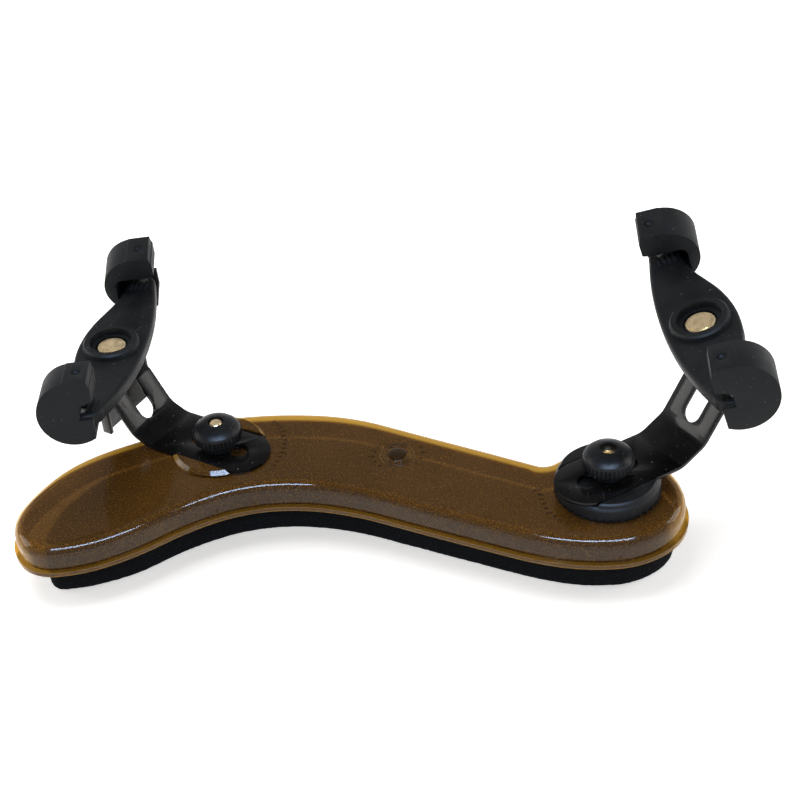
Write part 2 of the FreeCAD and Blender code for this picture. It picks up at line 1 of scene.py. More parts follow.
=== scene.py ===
"""Looks of the violin shoulder rest: finishes, softened edges, foam pad and moulded marks."""
import json
import math

import bpy
from mathutils import Matrix, Vector


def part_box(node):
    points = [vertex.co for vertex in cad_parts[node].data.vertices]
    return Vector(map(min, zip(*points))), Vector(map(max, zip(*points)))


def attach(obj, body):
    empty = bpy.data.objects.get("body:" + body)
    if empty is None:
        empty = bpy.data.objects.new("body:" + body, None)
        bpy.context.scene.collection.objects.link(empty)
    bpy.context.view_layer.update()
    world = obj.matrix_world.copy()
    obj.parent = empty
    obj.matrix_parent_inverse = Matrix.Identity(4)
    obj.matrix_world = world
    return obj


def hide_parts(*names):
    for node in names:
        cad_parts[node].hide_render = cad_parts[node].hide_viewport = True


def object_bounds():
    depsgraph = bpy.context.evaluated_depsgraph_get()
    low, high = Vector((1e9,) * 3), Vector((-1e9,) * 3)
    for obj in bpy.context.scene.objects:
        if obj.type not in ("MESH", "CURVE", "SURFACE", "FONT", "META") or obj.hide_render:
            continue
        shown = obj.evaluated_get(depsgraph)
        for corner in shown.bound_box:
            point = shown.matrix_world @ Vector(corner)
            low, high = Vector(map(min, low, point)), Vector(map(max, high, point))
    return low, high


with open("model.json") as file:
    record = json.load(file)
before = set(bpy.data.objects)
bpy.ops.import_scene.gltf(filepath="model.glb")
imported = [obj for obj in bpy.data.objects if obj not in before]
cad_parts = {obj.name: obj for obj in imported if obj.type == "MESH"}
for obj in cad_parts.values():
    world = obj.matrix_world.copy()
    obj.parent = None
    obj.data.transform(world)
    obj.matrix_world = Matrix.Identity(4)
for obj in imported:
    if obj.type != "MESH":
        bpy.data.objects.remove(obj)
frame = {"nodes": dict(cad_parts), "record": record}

bl_info = {
    "name": "Violin shoulder rest",
    "version": (1, 0, 0),
    "blender": (4, 5, 0),
    "location": "View3D > Sidebar > Shoulder rest",
    "description": "Builds the finishes and soft parts of a violin shoulder rest on its CAD frame",
    "category": "Object",
}

MM = 0.001
CAD_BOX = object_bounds()
SIDES = ("left", "right")
ENDS = ("front", "back")

# ---- places taken from the frame ------------------------------------------------
SHELL_LOW, SHELL_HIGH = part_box("shell")


def middle(node):
    low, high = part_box(node)
    return (low + high) / 2


STUD = {side: middle("stud_" + side) for side in SIDES}
MEDALLION = Vector((STUD["left"].x + 58.8 * MM, STUD["left"].y - 11.0 * MM, 0))


def shell_top():
    """Height of the shell's flat top, found under the bare middle of the shell."""
    above = Vector((MEDALLION.x, MEDALLION.y, 1.0))
    hit, place, _, _ = frame["nodes"]["shell"].ray_cast(above, Vector((0, 0, -1)))
    if not hit:
        raise RuntimeError("nothing of the shell lies under the medallion")
    return place.z


SHELL_FLAT = shell_top()
# The stage aims at this point, measured from the left stud and the shell's flat top.
AIM = Vector((STUD["left"].x + 43.6 * MM, STUD["left"].y - 19.2 * MM, SHELL_FLAT - 2.5 * MM))
BODY_OF = {node: body for body, nodes in frame["record"]["behaviour"]["bodies"].items() for node in nodes}

# ---- marks moulded on the shell, and the painted glow of its edges ----------------
# Headings in degrees of the ticks round each boss and round the medallion.
BOSS_TICKS = {"left": range(-74, 58, 6), "right": range(176, 300, 6)}
MEDALLION_TICKS = range(0, 360, 20)
MEDALLION_TICK_RADIUS = 7.2 * MM
MEDALLION_RINGS = (5.6 * MM, 4.4 * MM)
MEDALLION_RING_THICK = 0.22 * MM
DOME_RADIUS = 3.4 * MM
DOME_FLATNESS = 0.12
# Ejector marks on the front wall: along it from the left stud, and up from the rim.
EJECTORS = (-0.6 * MM, 11.4 * MM, 124.5 * MM)
EJECTOR_UP = 2.8 * MM
EJECTOR_THICK = 0.16 * MM
# Painted glow: bright lines above the shell's underside, and how far they fade to each side.
RIM_GLOW_LINES = (0.15 * MM, 1.6 * MM)
RIM_GLOW_FULL = 0.12 * MM
RIM_GLOW_GONE = 0.42 * MM
# The painted glow of the back edge is full this far in, and reaches no further than the second distance.
GLOW_FULL = 4.4 * MM
GLOW_GONE = 6.4 * MM
OUTLINE_PROBES = 48

# ---- small sizes and tones inside the finishes --------------------------------------
FOAM_CELL = 1.3 * MM
FOAM_SWELL = 22 * MM
TOOL_MARK = 0.28 * MM
# Painted shade in the foam's pores.
FOAM_PORE_SHADE = (0.003, 0.003, 0.0035)
FOAM_THREAD = (0.13, 0.13, 0.135)
SCRATCH = (0.09, 0.09, 0.09)

# ---- stage ----------------------------------------------------------------------------
# The aim stands left of and below the middle of the frame, by these shares of its width.
AIM_LEFT = 0.06
AIM_BELOW = 0.10
# Width of the camera's sensor in millimetres.
SENSOR = 36
# Light of the surroundings, at the horizon and from where they count as ceiling.
HORIZON_GLOW = 0.85
CEILING_GLOW = 0.12
CEILING_FROM = 0.75
# Light that the floor adds where it is seen, so that it shows white.
FLOOR_GLOW = 0.55


# ---- settings ---------------------------------------------------------------------
def colour(name, description, default):
    return bpy.props.FloatVectorProperty(
        name=name, description=description, subtype="COLOR", size=3, min=0, max=1, default=default)


def length(name, description, default):
    return bpy.props.FloatProperty(
        name=name, description=description, default=default, min=0, unit="LENGTH", precision=5)


class FinishSettings(bpy.types.PropertyGroup):
    """Colours of the object's finishes."""
    amber_dark: colour("Amber, deep", "Plastic over the dark foam", (0.078, 0.038, 0.011))
    # Painted glow: this amber is painted where light comes through the plastic. It is also the colour of
    # the plastic's grain.
    amber_grain_and_glow: colour("Amber, thick", "Plastic where some light comes through", (0.50, 0.23, 0.030))
    # Painted glow: this bright amber is painted where light fills the edges, on the rim lines and as the
    # glitter's glints.
    amber_painted_glow: colour("Amber, rim", "Plastic where light fills the edge", (0.98, 0.57, 0.08))
    foam: colour("Foam", "Foam pad", (0.0022, 0.0024, 0.0030))
    paint: colour("Black paint", "Paint on the steel strips", (0.0035, 0.0035, 0.004))
    moulding: colour("Black moulding", "Nuts and turntable", (0.0055, 0.006, 0.007))
    rubber: colour("Rubber", "Claws and forks", (0.0075, 0.0084, 0.0092))
    dust: colour("Dust", "Pale specks on the black parts", (0.34, 0.34, 0.33))
    brass: colour("Brass", "Studs and rivets", (1.0, 0.78, 0.47))
    zinc: colour("Zinc", "Screws and pins", (0.55, 0.56, 0.57))


class SizeSettings(bpy.types.PropertyGroup):
    """Sizes of what is modelled here."""
    claw_round: length("Claw edge", "Rounding of the claws' edges", 1.3 * MM)
    leg_round: length("Strip edge", "Rounding of the steel strips' edges", 0.22 * MM)
    nut_round: length("Nut edge", "Rounding of the small mouldings' edges", 0.14 * MM)
    foam_voxel: length("Foam mesh", "Spacing of the foam pad's mesh", 0.9 * MM)
    foam_grain: length("Foam grain", "Depth of the foam's open cells", 0.28 * MM)
    tick_length: length("Tick", "Length of a moulded tick mark", 1.9 * MM)
    tick_width: length("Tick width", "Width of a moulded tick mark", 0.45 * MM)
    tick_height: length("Tick height", "Height of a moulded tick mark", 0.22 * MM)
    tick_radius: length("Tick circle", "Radius of the circle of ticks round a boss", 20.6 * MM)
    ejector_radius: length("Ejector mark", "Radius of an ejector pin's mark", 1.0 * MM)


class StageSettings(bpy.types.PropertyGroup):
    """Camera and light."""
    elevation: bpy.props.FloatProperty(
        name="Elevation", description="Camera above the horizon", subtype="ANGLE", default=math.radians(37))
    roll: bpy.props.FloatProperty(
        name="Roll", description="Camera turned about its own line", subtype="ANGLE",
        default=math.radians(4.5))
    distance: length("Distance", "From the camera to the aim", 0.5)
    lens: bpy.props.FloatProperty(
        name="Lens", description="Focal length in millimetres", default=69.3, min=1)
    floor: colour("Floor", "Pale floor", (0.93, 0.93, 0.93))


# ---- shader building ----------------------------------------------------------------
class Finish:
    """One material's node tree, built from a Principled shader outwards."""

    def __init__(self, name, **constants):
        self.material = bpy.data.materials.new(name)
        self.material.use_nodes = True
        self.nodes = self.material.node_tree.nodes
        self.links = self.material.node_tree.links
        self.shader = self.nodes["Principled BSDF"]
        coordinates = self.nodes.new("ShaderNodeTexCoord")
        self.place = coordinates.outputs["Object"]
        self.facing = coordinates.outputs["Normal"]
        for socket, value in constants.items():
            self.shader.inputs[socket.replace("_", " ")].default_value = value

    def put(self, socket, value):
        """Links another node's output to a socket, or sets the socket to a constant."""
        if isinstance(value, bpy.types.NodeSocket):
            self.links.new(value, socket)
        elif hasattr(value, "__len__") and len(value) == 3 and socket.type == "RGBA":
            socket.default_value = (*value, 1)
        else:
            socket.default_value = value

    def node(self, kind, inputs, **settings):
        made = self.nodes.new(kind)
        for key, value in settings.items():
            setattr(made, key, value)
        for key, value in inputs.items():
            self.put(made.inputs[key], value)
        return made

    def noise(self, size, detail=2.0, rough=0.5, stretch=None):
        """Smooth noise whose features are about size metres across."""
        vector = self.place
        if stretch:
            vector = self.node("ShaderNodeMapping", {"Vector": vector, "Scale": stretch}).outputs[0]
        made = self.node("ShaderNodeTexNoise", {"Vector": vector, "Scale": 1 / size, "Detail": detail,
                                                "Roughness": rough})
        return made.outputs["Fac"]

    def cells(self, size):
        """Distance from the middles of cells about size metres apart."""
        made = self.node("ShaderNodeTexVoronoi", {"Vector": self.place, "Scale": 1 / size})
        return made.outputs["Distance"]

    def step(self, value, low, high, to_low=0.0, to_high=1.0):
        """Maps low..high to to_low..to_high with soft ends."""
        made = self.node("ShaderNodeMapRange", {"Value": value, "From Min": low, "From Max": high,
                                                "To Min": to_low, "To Max": to_high},
                         interpolation_type="SMOOTHSTEP")
        return made.outputs[0]

    def straight(self, value, low, high):
        """Maps low..high to 0..1 in a straight line."""
        made = self.node("ShaderNodeMapRange", {"Value": value, "From Min": low, "From Max": high})
        return made.outputs[0]

    def maths(self, operation, a, b=0.0):
        return self.node("ShaderNodeMath", {0: a, 1: b}, operation=operation).outputs[0]

    def split(self, vector):
        return self.node("ShaderNodeSeparateXYZ", {0: vector}).outputs

    def mix(self, share, a, b):
        made = self.node("ShaderNodeMix", {"Factor": share}, data_type="RGBA")
        self.put(made.inputs[6], a)
        self.put(made.inputs[7], b)
        return made.outputs[2]

    def bump(self, height, depth, strength=1.0, under=None):
        inputs = {"Height": height, "Distance": depth, "Strength": strength}
        if under is not None:
            inputs["Normal"] = under
        return self.node("ShaderNodeBump", inputs).outputs[0]

    def dusted(self, ground, dust, size, amount):
        """Sparse pale specks, gathered in loose patches."""
        speck = self.step(self.cells(size), 0.20, 0.11)
        lucky = self.step(self.noise(size * 1.3, 0.0), 0.60, 0.72)
        patch = self.step(self.noise(size * 14, 2.0), 0.35, 0.62, 0.35, 1.0)
        share = self.maths("MULTIPLY", self.maths("MULTIPLY", speck, lucky), patch)
        return self.mix(self.maths("MULTIPLY", share, amount), ground, dust)

    def finish(self, base, roughness, normal):
        for name, value in (("Base Color", base), ("Roughness", roughness), ("Normal", normal)):
            self.put(self.shader.inputs[name], value)
        return self.material


def finishes():
    return bpy.context.scene.rest_finishes


def sizes():
    return bpy.context.scene.rest_sizes


# ---- finishes ----------------------------------------------------------------------
def back_edge(f):
    """How far back the shell reaches along its length, as a curve through probes of its outline."""
    span = SHELL_HIGH - SHELL_LOW
    along = f.straight(f.split(f.place)[0], SHELL_LOW.x, SHELL_HIGH.x)
    curve = f.node("ShaderNodeFloatCurve", {"Value": along})
    points = curve.mapping.curves[0].points
    for i in range(OUTLINE_PROBES + 1):
        x = SHELL_LOW.x + span.x * (i + 0.02) / (OUTLINE_PROBES + 0.04)
        behind = Vector((x, SHELL_HIGH.y + 10 * MM, SHELL_LOW.z + 4 * MM))
        hit, place, _, _ = frame["nodes"]["shell"].ray_cast(behind, Vector((0, -1, 0)))
        reach = (place.y - SHELL_LOW.y) / span.y if hit else 0.0
        if 0 < i < OUTLINE_PROBES:
            points.new(i / OUTLINE_PROBES, reach)
        else:
            points[-1 if i else 0].location = (i / OUTLINE_PROBES, reach)
    curve.mapping.update()
    return f.maths("ADD", f.maths("MULTIPLY", curve.outputs[0], span.y), SHELL_LOW.y)


def amber_finish(name="amber_plastic", depth=1.0):
    """Clear amber moulding over dark foam: deep brown on top, sparkling grain with painted glints, painted
    glow on the edges and painted shade on the walls.
    """
    tones = finishes()
    f = Finish(name, IOR=1.4, Transmission_Weight=0.5, Specular_IOR_Level=0.36)
    height = f.split(f.place)[2]
    facing = f.split(f.facing)
    flat_top = f.step(facing[2], 0.90, 0.995)
    clouds = f.noise(38 * MM, 3.0, 0.6)
    grain = f.noise(0.55 * MM, 2.0, 0.7)
    glitter_glint = f.step(f.noise(0.38 * MM, 1.0), 0.60, 0.74)
    dark = [c * depth for c in tones.amber_dark]
    deep = f.mix(f.step(clouds, 0.34, 0.68), dark, [c * 1.45 for c in dark])
    deep = f.mix(f.step(grain, 0.35, 0.80, 0.0, 0.42 * depth), deep, tones.amber_grain_and_glow)
    # Painted shade: the walls are painted darker, as standing in their own shade.
    deep = f.mix(f.step(facing[2], 0.85, 0.25, 0.0, 0.62), deep, [c * 0.22 for c in dark])
    # Painted glow: bright amber is painted along the back edge, and where the surface turns over at the two
    # tips, as light gathering there.
    turned = f.maths("SUBTRACT", 1.0, flat_top)
    inwards = f.maths("SUBTRACT", back_edge(f), f.split(f.place)[1])
    behind = f.step(inwards, GLOW_GONE, GLOW_FULL, 0.0, 0.9)
    behind = f.maths("MULTIPLY", behind, f.step(facing[2], 0.05, 0.55, 0.22, 1.0))
    tips = f.step(f.maths("ABSOLUTE", facing[0]), 0.45, 0.95)
    glow = f.maths("MAXIMUM", behind, f.maths("MULTIPLY", turned, f.maths("MULTIPLY", tips, 0.75)))
    # Painted glow: speckled amber on the surfaces that turn away from the flat top, as light coming through
    # the walls.
    speckled_glow = f.maths("MULTIPLY", turned, f.step(f.noise(0.7 * MM, 2.0, 0.8), 0.42, 0.62, 0.02, 0.26))
    ground = f.mix(speckled_glow, deep, tones.amber_grain_and_glow)
    # The plastic's glitter flakes, with their sparkle painted as bright glints in the glow amber, stronger
    # on the turned surfaces.
    ground = f.mix(f.maths("MULTIPLY", glitter_glint, f.maths("ADD", 0.22, f.maths("MULTIPLY", speckled_glow, 0.5))),
                   ground, tones.amber_painted_glow)
    ground = f.mix(glow, ground, tones.amber_painted_glow)
    # Painted glow: thin bright lines run along the rim's upper and lower edges.
    line = 0.0
    for z in RIM_GLOW_LINES:
        off = f.maths("ABSOLUTE", f.maths("SUBTRACT", height, SHELL_LOW.z + z))
        line = f.maths("MAXIMUM", line, f.step(off, RIM_GLOW_GONE, RIM_GLOW_FULL))
    # Painted glow: the skirt just above the underside is painted lighter amber, as light coming through it.
    skirt_glow = f.step(height, SHELL_LOW.z + 2.3 * MM, SHELL_LOW.z + 1.2 * MM, 0.0, 0.22)
    ground = f.mix(skirt_glow, ground, tones.amber_grain_and_glow)
    ground = f.mix(f.maths("MULTIPLY", line, 0.30), ground, tones.amber_painted_glow)
    scuffs = f.noise(9 * MM, 4.0, 0.65, stretch=(1, 5, 1))
    rough = f.step(scuffs, 0.35, 0.75, 0.07, 0.17)
    return f.finish(ground, rough, f.bump(f.noise(16 * MM, 2.0), 0.2 * MM, 0.4))


def foam_finish():
    """Black open foam with fine pores painted darker as shade, and a few grey threads of dust."""
    tones = finishes()
    f = Finish("foam", Specular_IOR_Level=0.1)
    pores = f.cells(0.55 * MM)
    fine = f.noise(0.35 * MM, 3.0, 0.7)
    ground = f.mix(f.step(fine, 0.35, 0.75), tones.foam, [c * 3.0 for c in tones.foam])
    # Painted shade: the pores are painted darker, as shade in the open cells.
    ground = f.mix(f.step(pores, 0.5, 0.05, 0.0, 0.7), ground, FOAM_PORE_SHADE)
    ground = f.mix(f.step(f.noise(0.5 * MM, 1.0), 0.68, 0.78, 0.0, 0.35), ground, FOAM_THREAD)
    shape = f.bump(pores, 0.3 * MM, 0.8, f.bump(fine, 0.12 * MM, 0.7))
    return f.finish(ground, 0.93, shape)


def paint_finish():
    """Glossy black paint on pressed steel, a little uneven, with hairline scratches."""
    tones = finishes()
    f = Finish("black_steel", IOR=1.45, Specular_IOR_Level=0.36)
    peel = f.noise(1.6 * MM, 2.0, 0.5)
    smears = f.noise(11 * MM, 4.0, 0.6)
    hair = f.step(f.noise(0.35 * MM, 1.0, 0.5, stretch=(1, 0.04, 1)), 0.70, 0.76)
    ground = f.mix(f.step(smears, 0.3, 0.75), tones.paint, [c * 1.9 for c in tones.paint])
    ground = f.mix(f.maths("MULTIPLY", hair, 0.30), ground, SCRATCH)
    ground = f.dusted(ground, tones.dust, 1.3 * MM, 0.55)
    rough = f.step(smears, 0.3, 0.75, 0.12, 0.26)
    return f.finish(ground, rough, f.bump(peel, 0.05 * MM, 0.45))


def moulding_finish():
    """Satin black moulded plastic with the mould's fine texture."""
    tones = finishes()
    f = Finish("black_plastic", IOR=1.45, Specular_IOR_Level=0.3)
    grain = f.noise(0.45 * MM, 2.0, 0.6)
    patches = f.noise(7 * MM, 3.0, 0.5)
    ground = f.mix(f.step(patches, 0.3, 0.7), tones.moulding, [c * 1.6 for c in tones.moulding])
    ground = f.dusted(ground, tones.dust, 0.9 * MM, 0.5)
    rough = f.step(patches, 0.3, 0.7, 0.34, 0.48)
    return f.finish(ground, rough, f.bump(grain, 0.035 * MM, 0.5))


def rubber_finish(name, speckle, roughness):
    """Matte black rubber, faintly blue, with pale dust caught in its texture."""
    tones = finishes()
    f = Finish(name, IOR=1.45, Specular_IOR_Level=0.25)
    grain = f.noise(0.38 * MM, 3.0, 0.65)
    bloom = f.noise(9 * MM, 3.0, 0.55)
    ground = f.mix(f.step(bloom, 0.30, 0.72), tones.rubber, [c * 1.55 for c in tones.rubber])
    ground = f.mix(f.step(grain, 0.55, 0.80, 0.0, 0.22), ground, [c * 4.0 for c in tones.rubber])
    ground = f.dusted(ground, tones.dust, 0.95 * MM, speckle)
    rough = f.step(bloom, 0.3, 0.7, roughness - 0.05, roughness + 0.08)
    return f.finish(ground, rough, f.bump(grain, 0.05 * MM, 0.7))


def turned_finish(name, tone, centre, roughness):
    """Bright turned metal whose tool marks circle the piece's own axis."""
    f = Finish(name, Metallic=0.65)
    moved = f.node("ShaderNodeMapping", {"Vector": f.place, "Location": [-c for c in centre]}).outputs[0]
    rings = f.node("ShaderNodeTexWave",
                   {"Vector": moved, "Scale": 1 / TOOL_MARK / 6.3, "Distortion": 0.6, "Detail": 1.0},
                   wave_type="RINGS", rings_direction="Z").outputs["Fac"]
    tarnish = f.noise(2.2 * MM, 3.0, 0.6)
    dull = [c * 0.62 for c in tone]
    ground = f.mix(f.step(tarnish, 0.38, 0.72), tone, dull)
    ground = f.mix(f.step(f.noise(0.6 * MM, 2.0), 0.64, 0.72, 0.0, 0.6), ground, [c * 0.28 for c in tone])
    rough = f.step(tarnish, 0.3, 0.7, roughness - 0.05, roughness + 0.16)
    return f.finish(ground, rough, f.bump(rings, 0.02 * MM, 0.35))


# ---- mesh helpers --------------------------------------------------------------------
def only(*pieces):
    """Leaves just these pieces selected, the first of them active."""
    if bpy.context.mode != "OBJECT":
        bpy.ops.object.mode_set(mode="OBJECT")
    bpy.ops.object.select_all(action="DESELECT")
    for piece in pieces:
        piece.select_set(True)
    bpy.context.view_layer.objects.active = pieces[0]


def coat(piece, material):
    piece.data.materials.clear()
    piece.data.materials.append(material)


def coat_node(node, material):
    for place in frame["nodes"][node].material_slots:
        place.material = material


def apply_all(piece):
    only(piece)
    for name in [m.name for m in piece.modifiers]:
        bpy.ops.object.modifier_apply(modifier=name)


def settle(piece):
    """Moves the piece's place into its mesh, so that the object sits at the origin."""
    only(piece)
    bpy.ops.object.transform_apply(location=True, rotation=True, scale=True)


def copied(node, name):
    """A merged copy of a CAD piece's mesh, ready for modelling."""
    mesh = frame["nodes"][node].data.copy()
    piece = bpy.data.objects.new(name, mesh)
    bpy.context.scene.collection.objects.link(piece)
    only(piece)
    bpy.ops.mesh.customdata_custom_splitnormals_clear()
    bpy.ops.object.mode_set(mode="EDIT")
    bpy.ops.mesh.select_all(action="SELECT")
    bpy.ops.mesh.remove_doubles(threshold=0.002 * MM)
    bpy.ops.object.mode_set(mode="OBJECT")
    return piece


def soften(node, name, width, material, segments=2, crease=32.0):
    """A copy of a CAD piece with its hard edges rounded, shown instead of it."""
    piece = copied(node, name)
    bpy.ops.object.mode_set(mode="EDIT")
    bpy.ops.mesh.select_all(action="SELECT")
    bpy.ops.mesh.dissolve_limited(angle_limit=math.radians(0.8))
    bpy.ops.object.mode_set(mode="OBJECT")
    bevel = piece.modifiers.new("edge", "BEVEL")
    bevel.width = width
    bevel.segments = segments
    bevel.limit_method = "ANGLE"
    bevel.angle_limit = math.radians(crease)
    bevel.use_clamp_overlap = True
    apply_all(piece)
    bpy.ops.object.shade_smooth_by_angle(angle=math.radians(crease))
    coat(piece, material)
    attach(piece, BODY_OF[node])
    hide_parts(node)


def join(pieces, name):
    only(*pieces)
    bpy.ops.object.join()
    pieces[0].name = name
    return pieces[0]


def add_tick(at, heading, long):
    """One raised bar with rounded edges, lying on the shell along heading."""
    s = sizes()
    bpy.ops.object.select_all(action="DESELECT")
    bpy.ops.mesh.primitive_cube_add(size=1, location=at, rotation=(0, 0, heading))
    tick = bpy.context.object
    tick.scale = (long, s.tick_width, s.tick_height * 2)
    settle(tick)
    bevel = tick.modifiers.new("edge", "BEVEL")
    bevel.width = s.tick_height * 0.6
    bevel.segments = 2
    apply_all(tick)
    return tick


def on_flat(place):
    """True where the shell's flat top lies right under a place."""
    above = Vector((place.x, place.y, SHELL_FLAT + 1 * MM))
    hit, _, normal, _ = frame["nodes"]["shell"].ray_cast(above, Vector((0, 0, -1)), distance=1.5 * MM)
    return hit and normal.z > 0.999


def tick_circle(name, centre, radius, angles, material, every=5):
    """Raised tick marks on part of a circle, each fifth one longer."""
    s = sizes()
    ticks = []
    for i, angle in enumerate(angles):
        a = math.radians(angle)
        long = s.tick_length * (1.45 if i % every == 0 else 1.0)
        spoke = Vector((math.cos(a), math.sin(a), 0))
        at = Vector((centre.x, centre.y, SHELL_FLAT)) + spoke * (radius + long / 2)
        if on_flat(at + spoke * long):
            ticks.append(add_tick(at, a, long))
    piece = join(ticks, name)
    coat(piece, material)
    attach(piece, "rest_body")


def ring_on(name, centre, radius, thick, normal, material):
    """A low ring sunk half into the surface that faces along normal."""
    bpy.ops.object.select_all(action="DESELECT")
    bpy.ops.mesh.primitive_torus_add(major_radius=radius, minor_radius=thick, major_segments=64,
                                     minor_segments=8, location=(0, 0, 0))
    ring = bpy.context.object
    ring.name = name
    turn = Vector((0, 0, 1)).rotation_difference(normal).to_matrix().to_4x4()
    ring.matrix_world = Matrix.Translation(centre) @ turn
    settle(ring)
    bpy.ops.object.shade_smooth()
    coat(ring, material)
    return ring


# ---- operators -----------------------------------------------------------------------
class REST_OT_shell(bpy.types.Operator):
    """Amber finish on the shell, with its moulded ticks, medallion ring and ejector marks"""
    bl_idname = "rest.shell"
    bl_label = "Shell"

    def execute(self, context):
        s = sizes()
        amber = amber_finish()
        coat_node("shell", amber)
        shaded = amber_finish("amber_marks", 0.3)
        for side in SIDES:
            tick_circle("boss_ticks_" + side, STUD[side], s.tick_radius, BOSS_TICKS[side], shaded)
        tick_circle("medallion_ticks", MEDALLION, MEDALLION_TICK_RADIUS, MEDALLION_TICKS, shaded, every=3)
        at = Vector((MEDALLION.x, MEDALLION.y, SHELL_FLAT))
        up = Vector((0, 0, 1))
        rings = [ring_on("medallion_ring", at, radius, MEDALLION_RING_THICK, up, shaded)
                 for radius in MEDALLION_RINGS]
        medallion = join(rings + [self.medallion_dome(at, shaded)], "medallion_ring")
        marks = join([self.ejector(x, amber) for x in EJECTORS], "ejector_marks")
        for piece in (medallion, marks):
            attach(piece, "rest_body")
        return {"FINISHED"}

    def medallion_dome(self, at, material):
        """A low bare dome in the middle of the medallion."""
        bpy.ops.object.select_all(action="DESELECT")
        bpy.ops.mesh.primitive_uv_sphere_add(segments=48, ring_count=24, radius=DOME_RADIUS)
        dome = bpy.context.object
        dome.scale = (1, 1, DOME_FLATNESS)
        dome.location = at
        settle(dome)
        bpy.ops.object.shade_smooth()
        coat(dome, material)
        return dome

    def ejector(self, along, material):
        """Round mark left by an ejector pin, on the front wall."""
        s = sizes()
        start = Vector((STUD["left"].x + along, CAD_BOX[0].y - 50 * MM, SHELL_LOW.z + EJECTOR_UP))
        hit, place, normal, _ = frame["nodes"]["shell"].ray_cast(start, Vector((0, 1, 0)))
        if not hit:
            raise RuntimeError("the ejector mark misses the front wall")
        ring = ring_on("mark", place, s.ejector_radius, EJECTOR_THICK, normal, material)
        dot = ring_on("dot", place, s.ejector_radius * 0.35, EJECTOR_THICK, normal, material)
        return join([ring, dot], "mark")


class REST_OT_foam(bpy.types.Operator):
    """Foam pad with open cells, modelled over its plain CAD block"""
    bl_idname = "rest.foam"
    bl_label = "Foam pad"

    def execute(self, context):
        s = sizes()
        pad = copied("foam_pad", "foam_cushion")
        pad.data.remesh_voxel_size = s.foam_voxel
        bpy.ops.object.voxel_remesh()
        relax = pad.modifiers.new("relax", "SMOOTH")
        relax.factor = 0.5
        relax.iterations = 3
        cells = bpy.data.textures.new("foam_cells", "CLOUDS")
        cells.noise_scale = FOAM_CELL
        cells.noise_depth = 1
        grain = pad.modifiers.new("grain", "DISPLACE")
        grain.texture = cells
        grain.texture_coords = "LOCAL"
        grain.strength = s.foam_grain
        grain.mid_level = 1.0
        swell = bpy.data.textures.new("foam_swell", "CLOUDS")
        swell.noise_scale = FOAM_SWELL
        waves = pad.modifiers.new("waves", "DISPLACE")
        waves.texture = swell
        waves.texture_coords = "LOCAL"
        waves.strength = s.foam_grain * 1.2
        waves.mid_level = 1.0
        apply_all(pad)
        bpy.ops.object.shade_smooth()
        coat(pad, foam_finish())
        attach(pad, BODY_OF["foam_pad"])
        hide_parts("foam_pad")
        return {"FINISHED"}


class REST_OT_legs(bpy.types.Operator):
    """Painted steel legs and height slides with their edges rounded"""
    bl_idname = "rest.legs"
    bl_label = "Legs and slides"

    def execute(self, context):
        paint = paint_finish()
        for side in SIDES:
            for node in ("leg_", "height_slide_"):
                soften(node + side, "painted_" + node + side, sizes().leg_round, paint)
        return {"FINISHED"}


class REST_OT_mouldings(bpy.types.Operator):
    """Black plastic thumb nuts and turntable"""
    bl_idname = "rest.mouldings"
    bl_label = "Nuts and turntable"

    def execute(self, context):
        black = moulding_finish()
        width = sizes().nut_round
        for node in ("thumb_nut_left", "thumb_nut_right", "turntable"):
            soften(node, "moulded_" + node, width, black, crease=24.0)
        return {"FINISHED"}


class REST_OT_forks(bpy.types.Operator):
    """Fork arms and their ribbed grip pads"""
    bl_idname = "rest.forks"
    bl_label = "Forks"

    def execute(self, context):
        arm = rubber_finish("fork_moulding", 0.75, 0.5)
        ribs = rubber_finish("grip_rubber", 0.3, 0.62)
        for side in SIDES:
            coat_node("fork_arm_" + side, arm)
            for end in ENDS:
                node = "grip_pad_%s_%s" % (side, end)
                soften(node, "ribbed_" + node, sizes().nut_round, ribs)
        return {"FINISHED"}


class REST_OT_claws(bpy.types.Operator):
    """Rubber claws with well rounded edges"""
    bl_idname = "rest.claws"
    bl_label = "Claws"

    def execute(self, context):
        rubber = rubber_finish("claw_rubber", 0.45, 0.56)
        for side in SIDES:
            for end in ENDS:
                node = "claw_%s_%s" % (side, end)
                soften(node, "soft_" + node, sizes().claw_round, rubber, segments=3)
        return {"FINISHED"}


class REST_OT_hardware(bpy.types.Operator):
    """Brass studs, bushes and rivets, and zinc-plated screws, nuts and pins"""
    bl_idname = "rest.hardware"
    bl_label = "Hardware"

    def execute(self, context):
        brass = tuple(finishes().brass)
        zinc = tuple(finishes().zinc)
        for side in SIDES:
            for kind in ("stud_", "nut_insert_", "fork_pivot_"):
                self.turned(kind + side, brass, 0.24)
            for kind in ("height_screw_", "height_nut_"):
                self.turned(kind + side, zinc, 0.30)
            for end in ENDS:
                self.turned("claw_pin_%s_%s" % (side, end), zinc, 0.34)
        return {"FINISHED"}

    def turned(self, node, tone, roughness):
        coat_node(node, turned_finish(node + "_metal", tone, middle(node), roughness))


